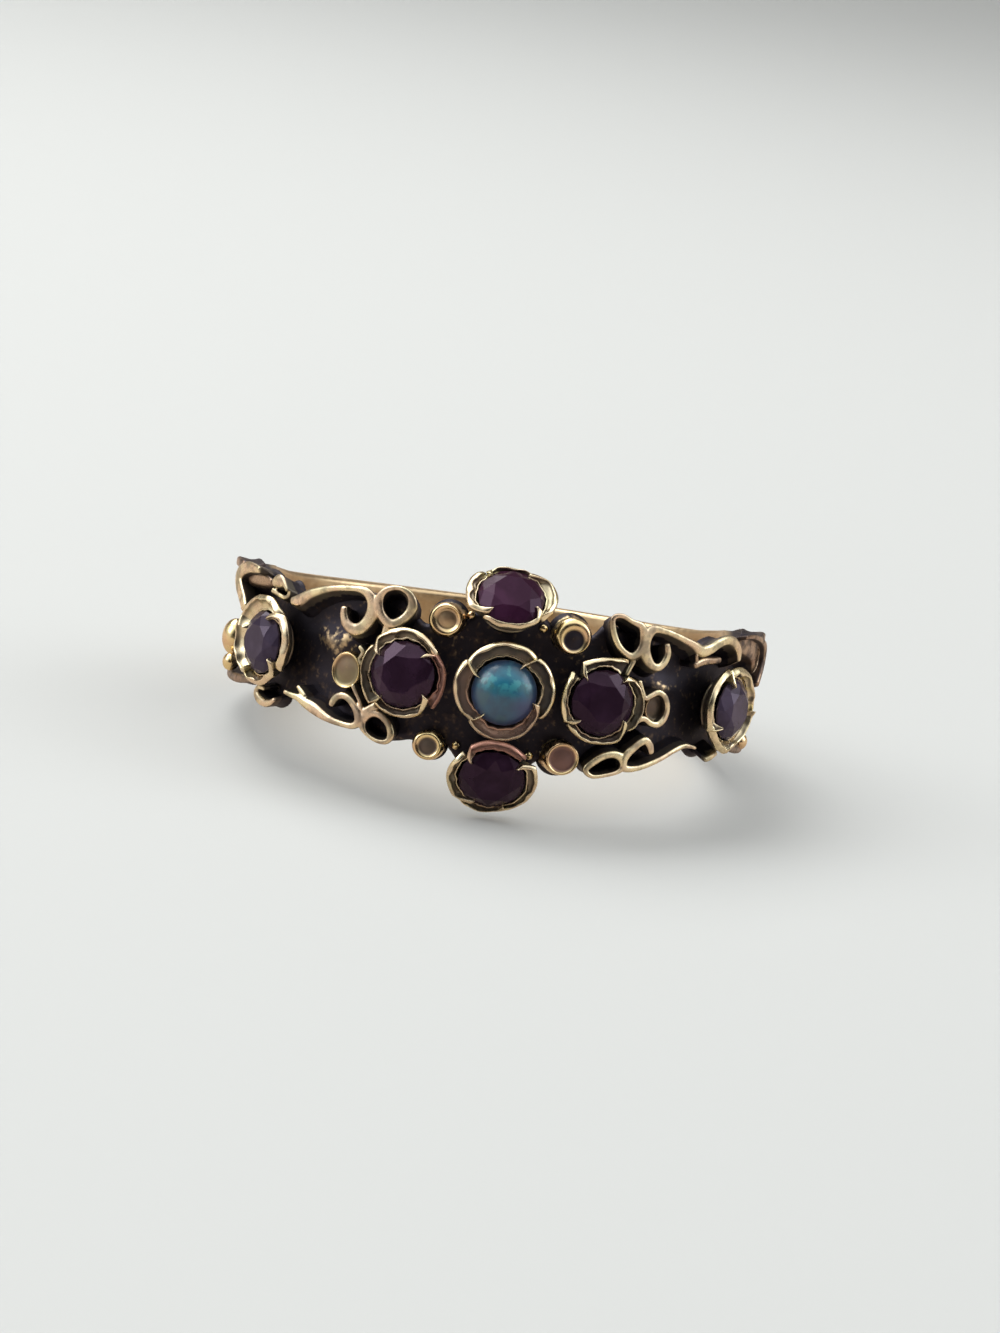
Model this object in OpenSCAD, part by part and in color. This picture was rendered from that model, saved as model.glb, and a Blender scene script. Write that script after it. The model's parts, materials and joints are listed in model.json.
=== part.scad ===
// Gold ring with an opal in a cross of four dark red stones and one more stone on each shoulder.
// The ring's own frame has +Z along the finger and the opal at -Y. Angles go round the finger from
// the opal, positive towards +X. The finished ring is tilted into the pose in which it lies.

/* [Finger hole] */
// Inside diameter of the ring
finger_d = 16.5; // [15.5:0.1:18]

/* [Band] */
// Thickness of the dark ground that carries the ornament
ground_t = 0.85; // [0.75:0.05:1]
// Height of the scroll work above the finger hole's wall
scroll_t = 1.6; // [1.5:0.05:1.7]
// Thickness of the plain shank at the back
shank_t = 1.05; // [0.9:0.05:1.3]
// Height of the shank at the back, along the finger
shank_h = 3.2; // [2.8:0.1:3.6]

/* [Opal] */
// Diameter of the opal
opal_d = 2.2; // [2.1:0.05:2.5]
// Height of its dome
opal_dome = 0.72; // [0.5:0.02:0.9]
// Outside diameter of its collet
opal_collet_d = 3.5; // [3.3:0.05:3.6]

/* [Cross stones] */
// Diameter of the four stones round the opal
cross_stone_d = 2.3; // [2.1:0.05:2.4]
// Outside diameter of their collets
cross_collet_d = 3.15; // [3:0.05:3.2]
// Angle from the opal to the left and right stones
cross_angle = 20; // [19.5:0.1:21]
// Height of the top and bottom stones from the opal's centre
cross_z = 3.15; // [3.1:0.05:3.4]
// Outward lean of the top stone
top_lean = 43; // [38:1:45]
// Outward lean of the bottom stone
bottom_lean = 28; // [26:1:34]

/* [Shoulder stones] */
// Diameter of the stone on each shoulder
shoulder_stone_d = 2.2; // [2:0.05:2.3]
// Outside diameter of its collet
shoulder_collet_d = 3; // [2.85:0.05:3.05]
// Angle from the opal to a shoulder stone
shoulder_angle = 57; // [56:0.5:58]

/* [Scrolls] */
// Width of a scroll's wire
wire_w = 0.28; // [0.24:0.01:0.32]
// Angle from the opal to the middle of a scroll shoulder
scroll_angle = 37; // [36.5:0.1:37.5]

/* [Hidden] */

gold = [0.80, 0.62, 0.36];
dark_gold = [0.20, 0.16, 0.15];
opal_blue = [0.25, 0.55, 0.65];
dark_red = [0.25, 0.08, 0.16];
mauve = [0.45, 0.36, 0.48];

$fn = 64;
hole_r = finger_d / 2;
ground_r = hole_r + ground_t;
scroll_r = hole_r + scroll_t;
shank_r = hole_r + shank_t;
overlap = 0.05; // how far joined shapes run into each other
root_depth = 0.2; // how far the ornament's walls run into the ground
outer_scroll_r = scroll_r - 0.1; // the curls by the shoulder stones are a little lower
corner_r = scroll_r + 0.2; // and the long loops beyond them higher
blank_h = 12; // height of the tubes that the band's pieces are cut from
stone_gap = 0.03; // clearance of a stone in its collet

// Where each stone's girdle lies: angle, height, distance from the finger's axis, lean
opal_seat = [0, 0, 10.1, 0];
top_seat = [-1, cross_z, 9.55, top_lean];
bottom_seat = [0.5, -cross_z, 9.55, -bottom_lean];
left_seat = [-cross_angle, 0, 10.1, 0];
right_seat = [cross_angle, 0, 10.1, 0];
left_shoulder_seat = [-shoulder_angle, 0, 10, 0];
right_shoulder_seat = [shoulder_angle, 0, 10, 0];

// Balls on the ground, in the right half and mirrored in the left: angle, height, radius
balls = [[13.2, 2.08, 0.55], [13.9, -2.17, 0.5], [34.2, -0.15, 0.53]];
// Domes on the shank beyond the shoulder stones: angle, height, radius, top
domes = [[78, -0.5, 0.6, 10], [78, -1.4, 0.38, 9.88]];

// Small curls beside the shoulder stones and a loop beyond them: angle, height, outer radius, hole
curls = [[54.5, 1.95, 0.48, 0.2], [53, -1.75, 0.46, 0.18], [69, -1.55, 0.6, 0.34]];
// Long loop on the band's upper edge beyond them: angle, height, outside size, size of the hole
long_loop = [68, 1.9, [2.1, 1.32], [1.45, 0.76]];

// Side view of the shank: distance behind the finger's axis, half height
shank_outline = [
    [-6.3, 1.35], [-5.9, 1.75], [-3.6, 2.1], [-1.6, 2.45], [0.5, 2.4], [5, shank_h / 2 + 0.2],
    [hole_r - 0.5, shank_h / 2], [shank_r + 1, shank_h / 2]
];

opal_base = 0.24; // straight side of the opal under its dome

// Cut of a faceted stone, as shares of its radius
table_share = 0.58;
crown_share = 0.30;
girdle_share = 0.05;
pavilion_share = 0.66;
star_share = 0.84; // where the crown's main facets are widest
lower_share = 0.45; // where the pavilion's main facets are widest

// Sizes that the collets share
rim_t = 0.13; // thickness of a petal's edge
rim_rise = 0.10; // how far the rim stands above the girdle
rim_h = 0.12; // height of the rim's outer wall
foot_share = 0.72; // radius of a collet's foot, as a share of its rim's
ledge_depth = 0.16; // how far below the girdle the petals' inner slope ends
seat_depth = 0.26; // how far below the girdle the stone's pocket starts to narrow
notch_w = 0.2; // width of the cut between two petals
collet_h = 1.1; // height of a collet below the girdle
pocket_floor_r = 0.3;

// Lowest point of the bottom collet's rim and of the shank's back, in the ring's own frame
bottom_rim_centre = [
    -bottom_seat[2] - rim_rise * cos(bottom_lean), -cross_z - rim_rise * sin(bottom_lean)
];
bottom_rim_low = bottom_rim_centre + cross_collet_d / 2 * [sin(bottom_lean), -cos(bottom_lean)];
shank_low = [shank_r, -shank_h / 2];
rest_tilt = atan2(shank_low[1] - bottom_rim_low[1], shank_low[0] - bottom_rim_low[0]);

// Turns the ring into the pose in which it lies: the head up and the shank's back down
module lying() rotate([-rest_tilt, 0, 0]) children();

// Places a shape on the band, with its z axis pointing outwards and its y axis up
module seated(seat)
    rotate([0, 0, seat[0]])
        translate([0, -seat[2], seat[1]])
            rotate([90 - seat[3], 0, 0])
                children();

module both_sides() {
    children();
    mirror([1, 0, 0]) children();
}

module tube(inner, outer, height)
    difference() {
        cylinder(r = outer, h = height, center = true);
        cylinder(r = inner, h = height + 1, center = true);
    }

// A flat outline, drawn as seen from outside at an angle, cut out of a tube
module cut_from_tube(inner, outer, angle)
    intersection() {
        tube(inner, outer, blank_h);
        rotate([0, 0, angle]) rotate([90, 0, 0]) linear_extrude(height = outer + 1) children();
    }

module ring_2d(outer, inner)
    difference() {
        circle(r = outer);
        circle(r = inner);
    }

// A piece of flat wire along an arc
module arc_2d(radius, from, to)
    intersection() {
        ring_2d(radius + wire_w / 2, radius - wire_w / 2);
        polygon(concat(
            [[0, 0]],
            [for (i = [0 : 8]) let (a = from + (to - from) * i / 8) 3 * radius * [cos(a), sin(a)]]
        ));
    }

// Upper scroll of a shoulder: the long edge wire, the hook that curls in, and the closed loop
edge_arc_r = 3.35;
edge_arc_centre = [-0.45, -0.83];
hook_r = 0.57;
hook_centre = [-0.86, 1.9];
loop_centre = [-2.19, 2.26];
loop_outer_r = 0.74;
loop_hole_r = 0.45;
tie_offset = [0.1, -0.98]; // wire end that ties the loop to the collet beside it
tie_size = [0.34, 0.62];
lower_scroll_share = 0.88; // the lower scroll's height, as a share of the upper's
module scroll_2d() {
    translate(edge_arc_centre) arc_2d(edge_arc_r, 42, 101);
    translate(hook_centre) arc_2d(hook_r, 95, 375);
    translate(loop_centre) ring_2d(loop_outer_r, loop_hole_r);
    translate(loop_centre + tie_offset) square(tie_size, center = true);
}

module lower() scale([1, -lower_scroll_share]) children();

// Solid ground under a shoulder's scrolls
module shoulder_ground_2d() {
    intersection() {
        translate(edge_arc_centre) circle(r = edge_arc_r);
        lower() translate(edge_arc_centre) circle(r = edge_arc_r);
        translate([-3.5, -3]) square([5.9, 6]); // from the head's ground to the shoulder stone
    }
    translate(loop_centre) circle(r = loop_outer_r - overlap);
    lower() translate(loop_centre) circle(r = loop_outer_r - overlap);
}

module shoulder_ground() color(dark_gold)
    both_sides() cut_from_tube(hole_r - overlap, ground_r, scroll_angle) shoulder_ground_2d();

module scrolls() color(gold)
    both_sides() cut_from_tube(ground_r - root_depth, scroll_r, scroll_angle) {
        scroll_2d();
        lower() scroll_2d();
    }

// Worn hump in the middle of each shoulder, the top of a ball sunk in the ground
hump_seat = [38, 0.5, 7.9, 0];
hump_r = 1.5;
module humps() color(gold)
    both_sides() seated(hump_seat) sphere(r = hump_r);

// Ground under the cross of stones: a wide plate for the balls and a tall one for the collets
head_plate = [5.9, 4.7];
head_cross = [2.3, 6.2];
module head_ground() color(dark_gold)
    cut_from_tube(hole_r - overlap, ground_r, 0) {
        square(head_plate, center = true);
        square(head_cross, center = true);
    }

module shank() color(gold)
    intersection() {
        tube(hole_r - overlap, shank_r, blank_h);
        rotate([90, 0, 90]) linear_extrude(height = 4 * hole_r, center = true)
            polygon(concat(
                shank_outline,
                [for (i = [len(shank_outline) - 1 : -1 : 0]) [shank_outline[i][0], -shank_outline[i][1]]]
            ));
    }

// Curls and loops round the shoulder stones
module outer_scrolls() color(gold)
    both_sides() {
        for (c = curls)
            cut_from_tube(ground_r - root_depth, outer_scroll_r, c[0]) translate([0, c[1]]) ring_2d(c[2], c[3]);
        cut_from_tube(ground_r - root_depth, corner_r, long_loop[0]) translate([0, long_loop[1]]) difference() {
            scale(long_loop[2]) circle(d = 1);
            scale(long_loop[3]) circle(d = 1);
        }
    }

// Wires on the band's edges, each on a low wall, which run on from the outer loops and sink into the
// shank. Each is part of a circle that lies nearer the opal than the shank's: forward shift, height, top
// at its side, slope, and the angle on that circle from the side at which it starts
edge_wire_r = 0.24;
edge_wall_h = 0.7;
edge_wire_end = 34;
edge_wires = [[1.6, 2.24, 9.97, 7, -5], [0.45, -1.85, 9.46, -5, -18]];
module edge_wire_set() color(gold)
    both_sides() for (w = edge_wires)
        translate([0, -w[0], w[1]])
            rotate([-w[3], 0, 0])
                rotate_extrude(angle = edge_wire_end - w[4], start = w[4])
                    translate([w[2] - edge_wire_r, 0]) {
                        circle(r = edge_wire_r, $fn = 24);
                        translate([-edge_wall_h, -0.8 * edge_wire_r]) square([edge_wall_h, 1.6 * edge_wire_r]);
                    }

module ball_set() color(gold)
    both_sides() {
        for (b = balls) seated([b[0], b[1], ground_r + 0.8 * b[2], 0]) sphere(r = b[2]);
        for (d = domes) seated([d[0], d[1], d[3] - d[2], 0]) sphere(r = d[2]);
    }

// A flared cup cut into four petals, with a claw bent in at each cut
module collet(outer_r, stone_r) color(gold) {
    seat_r = stone_r + stone_gap;
    difference() {
        rotate_extrude() polygon([
            [0, -collet_h], [outer_r * foot_share, -collet_h], [outer_r, rim_rise - rim_h],
            [outer_r, rim_rise], [outer_r - rim_t, rim_rise], [seat_r, -ledge_depth], [0, -ledge_depth]
        ]);
        for (a = [45 : 90 : 315]) rotate([0, 0, a])
            translate([seat_r + 0.1, -notch_w / 2, -0.12]) cube([outer_r, notch_w, 1]);
    }
    for (a = [45 : 90 : 315]) rotate([0, 0, a]) rotate([90, 0, 0])
        linear_extrude(height = notch_w - 0.04, center = true) polygon([
            [seat_r + 0.01, -0.3], [outer_r - 0.12, -0.3], [outer_r - 0.1, 0.02],
            [seat_r + 0.06, 0.22], [seat_r - 0.08, 0.25], [seat_r - 0.08, 0.17], [seat_r + 0.01, 0.06]
        ]);
}

// Room for a stone below its girdle, cut out of the collet and of the band under it
module pocket(stone_r, floor_r, depth)
    rotate_extrude() polygon([
        [0, -depth], [floor_r, -depth], [stone_r + stone_gap, -min(seat_depth, depth)],
        [stone_r + stone_gap, 0], [0, 0]
    ]);

cross_seats = [top_seat, bottom_seat, left_seat, right_seat];
shoulder_seats = [left_shoulder_seat, right_shoulder_seat];

module collets() {
    seated(opal_seat) collet(opal_collet_d / 2, opal_d / 2);
    for (seat = cross_seats) seated(seat) collet(cross_collet_d / 2, cross_stone_d / 2);
    for (seat = shoulder_seats) seated(seat) collet(shoulder_collet_d / 2, shoulder_stone_d / 2);
}

module pockets() {
    cut_share = pavilion_share + girdle_share + 0.06; // a little deeper than the stone
    seated(opal_seat) pocket(opal_d / 2, opal_d / 2, opal_base + 2 * stone_gap);
    for (seat = cross_seats)
        seated(seat) pocket(cross_stone_d / 2, pocket_floor_r, cut_share * cross_stone_d / 2);
    for (seat = shoulder_seats)
        seated(seat) pocket(shoulder_stone_d / 2, pocket_floor_r, cut_share * shoulder_stone_d / 2);
}

module mount() lying() difference() {
    union() {
        shank();
        shoulder_ground();
        head_ground();
        scrolls();
        humps();
        outer_scrolls();
        edge_wire_set();
        ball_set();
        collets();
    }
    pockets();
    cylinder(r = hole_r, h = 30, center = true);
}

module opal() color(opal_blue) lying() seated(opal_seat) {
    radius = opal_d / 2;
    ball_r = (radius * radius + opal_dome * opal_dome) / (2 * opal_dome);
    intersection() {
        translate([0, 0, opal_dome - ball_r]) sphere(r = ball_r);
        cylinder(r = radius + 1, h = 2 * opal_dome);
    }
    translate([0, 0, -opal_base]) cylinder(r = radius, h = opal_base);
}

// Points of one level of a cut stone
function level(count, radius, height, start) =
    [for (i = [0 : count - 1]) [
        radius * cos(start + 360 * i / count), radius * sin(start + 360 * i / count), height
    ]];

// Round cut stone with its girdle's upper edge at height 0, a table and eight facets in each row
module cut_stone(radius) {
    table_r = table_share * radius;
    crown_h = crown_share * radius;
    low = -girdle_share * radius;
    culet = low - pavilion_share * radius;
    star_r = star_share * radius;
    star_h = crown_h * (radius - star_r * cos(22.5)) / (radius - table_r);
    lower_r = lower_share * radius;
    lower_h = culet + (low - culet) * lower_r * cos(22.5) / radius;
    points = concat(
        level(8, table_r, crown_h, 22.5), level(8, star_r, star_h, 0), level(16, radius, 0, 0),
        level(16, radius, low, 0), level(8, lower_r, lower_h, 0), [[0, 0, culet]]
    );
    star = 8;
    upper = 16;
    under = 32;
    deep = 48;
    tip = 56;
    faces = concat(
        [[7, 6, 5, 4, 3, 2, 1, 0]],
        [for (i = [0 : 7]) each [
            [(i + 7) % 8, i, star + i],
            [i, upper + 2 * i + 1, star + i],
            [i, star + (i + 1) % 8, upper + 2 * i + 1],
            [star + i, upper + 2 * i + 1, upper + 2 * i],
            [star + i, upper + 2 * i, upper + (2 * i + 15) % 16],
            [deep + i, under + 2 * i, under + 2 * i + 1],
            [deep + i, under + (2 * i + 15) % 16, under + 2 * i],
            [deep + i, under + 2 * i + 1, tip],
            [under + 2 * i + 1, deep + (i + 1) % 8, tip]
        ]],
        [for (i = [0 : 15]) each [
            [upper + i, upper + (i + 1) % 16, under + i],
            [upper + (i + 1) % 16, under + (i + 1) % 16, under + i]
        ]]
    );
    polyhedron(points = points, faces = faces);
}

module stone_top() color(dark_red) lying() seated(top_seat) cut_stone(cross_stone_d / 2);
module stone_bottom() color(dark_red) lying() seated(bottom_seat) cut_stone(cross_stone_d / 2);
module stone_left() color(dark_red) lying() seated(left_seat) cut_stone(cross_stone_d / 2);
module stone_right() color(dark_red) lying() seated(right_seat) cut_stone(cross_stone_d / 2);
module stone_left_shoulder() color(mauve)
    lying() seated(left_shoulder_seat) cut_stone(shoulder_stone_d / 2);
module stone_right_shoulder() color(mauve)
    lying() seated(right_shoulder_seat) cut_stone(shoulder_stone_d / 2);

mount();
opal();
stone_top();
stone_bottom();
stone_left();
stone_right();
stone_left_shoulder();
stone_right_shoulder();
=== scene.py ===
import json
import math

import bmesh
import bpy
from mathutils import Matrix, Vector, noise


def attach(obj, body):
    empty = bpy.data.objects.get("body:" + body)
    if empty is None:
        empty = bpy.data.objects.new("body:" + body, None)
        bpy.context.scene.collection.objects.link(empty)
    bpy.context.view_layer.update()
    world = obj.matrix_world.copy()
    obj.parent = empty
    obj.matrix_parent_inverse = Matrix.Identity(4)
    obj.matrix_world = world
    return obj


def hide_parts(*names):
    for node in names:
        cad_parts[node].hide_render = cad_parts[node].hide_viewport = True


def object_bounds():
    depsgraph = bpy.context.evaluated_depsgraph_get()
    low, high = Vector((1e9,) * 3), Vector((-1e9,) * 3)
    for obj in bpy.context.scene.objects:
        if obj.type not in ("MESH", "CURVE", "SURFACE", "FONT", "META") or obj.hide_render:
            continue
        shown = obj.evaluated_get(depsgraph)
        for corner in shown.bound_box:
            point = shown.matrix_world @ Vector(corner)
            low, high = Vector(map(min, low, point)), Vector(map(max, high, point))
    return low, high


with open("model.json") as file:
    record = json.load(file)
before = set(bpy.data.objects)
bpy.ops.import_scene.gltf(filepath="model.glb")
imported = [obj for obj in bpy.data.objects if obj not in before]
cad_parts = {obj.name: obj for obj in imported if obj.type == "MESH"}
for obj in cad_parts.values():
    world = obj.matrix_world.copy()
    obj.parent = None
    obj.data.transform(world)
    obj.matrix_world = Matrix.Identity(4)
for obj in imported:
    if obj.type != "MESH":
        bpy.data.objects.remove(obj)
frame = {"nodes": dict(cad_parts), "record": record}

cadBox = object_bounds()

# Sizes are millimetres in the ring's own frame: +Z along the finger hole and the opal at -Y.
# Angles go round the hole from the opal, in degrees, positive towards +X.
mm = 0.001
fingerHole = next(m for m in frame["record"]["mounts"] if m["name"] == "finger_hole")
holeRadius = fingerHole["dims"]["r_mm"]
holeAxis = fingerHole["axis"]
restTilt = math.atan2(holeAxis[1], holeAxis[2])  # the head rests higher than the back
lying = Matrix.Rotation(-restTilt, 4, "X")
print("frame loaded, hole radius", holeRadius)


# Placing and building

def onBand(angle, height, reach):
    a = math.radians(angle)
    return Vector((reach * math.sin(a), -reach * math.cos(a), height))


def seatMatrix(angle, height, reach, lean):
    # local z points away from the finger, local y up along the hole
    return (Matrix.Rotation(math.radians(angle), 4, "Z") @ Matrix.Translation((0, -reach, height))
            @ Matrix.Rotation(math.radians(90 - lean), 4, "X"))


def smoothStep(x, low=0.0, high=1.0):
    t = min(1.0, max(0.0, (x - low) / (high - low)))
    return t * t * (3 - 2 * t)


def mix(a, b, t):
    return a + (b - a) * t


def curvePoint(a, b, c, d, t):
    # a smooth curve from b to c, at the share t of the way
    square = (2 * a - 5 * b + 4 * c - d) * t * t
    cube = (3 * b - 3 * c + d - a) * t ** 3
    return 0.5 * (2 * b + (c - a) * t + square + cube)


def fourAround(rows, i, endless=False):
    # the two rows on each side of the stretch that starts at row i
    n = len(rows)
    return [rows[(i + k) % n if endless else min(n - 1, max(0, i + k))] for k in (-1, 0, 1, 2)]


def curveThrough(rows, steps, endless=False):
    made = []
    for i in range(len(rows) if endless else len(rows) - 1):
        around = fourAround(rows, i, endless)
        for s in range(steps):
            made.append([curvePoint(*numbers, s / steps) for numbers in zip(*around)])
    if not endless:
        made.append(list(rows[-1]))
    return made


def loft(rings, endless=False):
    # closed rings of points, joined in a row, with both ends filled
    count = len(rings[0])
    points = [p for ring in rings for p in ring]
    faces = []
    for i in range(len(rings) if endless else len(rings) - 1):
        a, b = i * count, (i + 1) % len(rings) * count
        for j in range(count):
            k = (j + 1) % count
            faces.append((a + j, a + k, b + k, b + j))
    if not endless:
        for base, ring in ((0, rings[0]), (len(points) - count, rings[-1])):
            centre = sum(ring, Vector((0, 0, 0))) / count
            points.append(centre)
            faces += [(base + j, base + (j + 1) % count, len(points) - 1) for j in range(count)]
    return points, faces


def turnedRings(seat, profile, sides):
    # rings of points round the seat's axis, from rows of radius and height
    angles = [2 * math.pi * j / sides for j in range(sides)]
    return [[seat @ Vector((r * math.cos(a), r * math.sin(a), h)) for a in angles] for r, h in profile]


def joined(shapes):
    points, faces = [], []
    for somePoints, someFaces in shapes:
        start = len(points)
        points += somePoints
        faces += [tuple(start + i for i in face) for face in someFaces]
    return points, faces


def newMesh(name, points, faces):
    # faces look outwards where the shape is closed
    mesh = bpy.data.meshes.new(name)
    mesh.from_pydata(points, [], faces)
    shell = bmesh.new()
    shell.from_mesh(mesh)
    bmesh.ops.recalc_face_normals(shell, faces=shell.faces)
    shell.to_mesh(mesh)
    shell.free()
    mesh.polygons.foreach_set("use_smooth", [True] * len(mesh.polygons))
    return mesh


def newObject(name, data):
    made = bpy.data.objects.new(name, data)
    bpy.context.scene.collection.objects.link(made)
    return made


def fused(shape, voxel, rounds):
    # melts overlapping shapes into one skin, as cast metal, and smooths it; works in millimetres
    raw = newMesh("raw", *shape)
    holder = newObject("raw", raw)
    melt = holder.modifiers.new("melt", "REMESH")
    melt.mode = "VOXEL"
    melt.voxel_size = voxel
    skin = bpy.data.meshes.new_from_object(holder.evaluated_get(bpy.context.evaluated_depsgraph_get()))
    bpy.data.objects.remove(holder)
    bpy.data.meshes.remove(raw)
    soft = bmesh.new()
    soft.from_mesh(skin)
    for _ in range(rounds):
        bmesh.ops.smooth_vert(soft, verts=soft.verts, factor=0.5,
                              use_axis_x=True, use_axis_y=True, use_axis_z=True)
    made = [v.co.copy() for v in soft.verts], [tuple(v.index for v in f.verts) for f in soft.faces]
    soft.free()
    bpy.data.meshes.remove(skin)
    return made


def addPiece(name, shape, material, patina=None, rose=None, worn=None):
    points, faces = shape
    mesh = newMesh(name, [lying @ (p * mm) for p in points], faces)
    # patina shares carry real patina and also painted shade and painted reflection; rose shares are a
    # painted rosy reflection; worn shares are wear, and on the shoulder humps a painted highlight
    for tint, values in (("patina", patina), ("rose", rose), ("worn", worn)):  # shares at each point
        if values:
            mesh.attributes.new(tint, "FLOAT", "POINT").data.foreach_set("value", values)
    mesh.materials.append(material)
    piece = newObject(name, mesh)
    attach(piece, "root")
    return piece


# Shader building

def newMaterial(name):
    material = bpy.data.materials.new(name)
    material.use_nodes = True
    tree = material.node_tree
    return material, tree, tree.nodes["Principled BSDF"]


def groupSocket(group, name, direction, kind, value=None):
    socket = group.interface.new_socket(name, in_out=direction, socket_type=kind)
    if value is not None:
        socket.default_value = value


def feed(tree, node, values):
    # values by the name or number of their socket; a value can be another node's output
    for key, value in values.items():
        if isinstance(value, bpy.types.NodeSocket):
            tree.links.new(value, node.inputs[key])
        elif value is not None:
            node.inputs[key].default_value = value


def mathNode(tree, operation, first, second=None, clamp=False):
    node = tree.nodes.new("ShaderNodeMath")
    node.operation = operation
    node.use_clamp = clamp
    feed(tree, node, {0: first, 1: second})
    return node.outputs[0]


def vectorMath(tree, operation, first, second):
    node = tree.nodes.new("ShaderNodeVectorMath")
    node.operation = operation
    feed(tree, node, {0: first, 1: second})
    return node.outputs


def separated(tree, vector):
    node = tree.nodes.new("ShaderNodeSeparateXYZ")
    feed(tree, node, {0: vector})
    return node.outputs


def mixColor(tree, factor, first, second):
    node = tree.nodes.new("ShaderNodeMix")
    node.data_type = "RGBA"
    feed(tree, node, {0: factor, 6: first, 7: second})
    return node.outputs[2]


def mapRange(tree, value, fromMin, fromMax, toMin=0.0, toMax=1.0):
    node = tree.nodes.new("ShaderNodeMapRange")
    node.interpolation_type = "SMOOTHSTEP"
    feed(tree, node, {"Value": value, "From Min": fromMin, "From Max": fromMax,
                      "To Min": toMin, "To Max": toMax})
    return node.outputs["Result"]


def noiseNode(tree, place, scale, detail, roughness=0.55):
    node = tree.nodes.new("ShaderNodeTexNoise")
    feed(tree, node, {"Vector": place, "Scale": scale, "Detail": detail, "Roughness": roughness})
    return node.outputs["Fac"]


def pointShare(tree, name):
    # what addPiece gives each point under this name
    node = tree.nodes.new("ShaderNodeAttribute")
    node.attribute_name = name
    return node.outputs["Fac"]


# how wear lies on the gold, the same in each of its finishes; lengths are millimetres
wear = {
    "blotchNoise": (1.1, 4), "speckleNoise": (5.0, 2, 0.5), "spotNoise": (1.9, 3),
    "wobble": 0.3,  # how unevenly the patina ends
    "sideways": (0.3, 0.65),  # a wall's patina thins out between these shares of facing outwards
    "spots": (0.45, 0.65),  # where tarnish starts and where it is full
    "offHole": (0.05, 0.4),  # how far off the finger hole's wall the patina starts and is full
    "creviceReach": 0.45,
    "creviceOpen": (0.25, 0.75),  # how open a place is where its patina is full and where it ends
    # bared places are wear, and on the shoulder humps a painted highlight
    "rubbing": 0.5,  # weight of a rubbed place against the speckle
    "patches": (0.68, 0.98),  # speckle and rubbing that bare the gold
    "dots": (0.6, 0.72),  # speckle that shows as specks
    "warmth": (0.35, 0.65),  # blotches from gold to warm gold
    "mottling": (1.0, 1.3),  # both noises, from patina to brown patina
    "polishSpeckle": (0.3, 0.7), "polish": (-0.04, 0.08),  # how far the gold's roughness strays
    "patinaRoughness": 0.5,
    "patinaMetal": 0.85,
    "roseDulling": 0.45,
}


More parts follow.
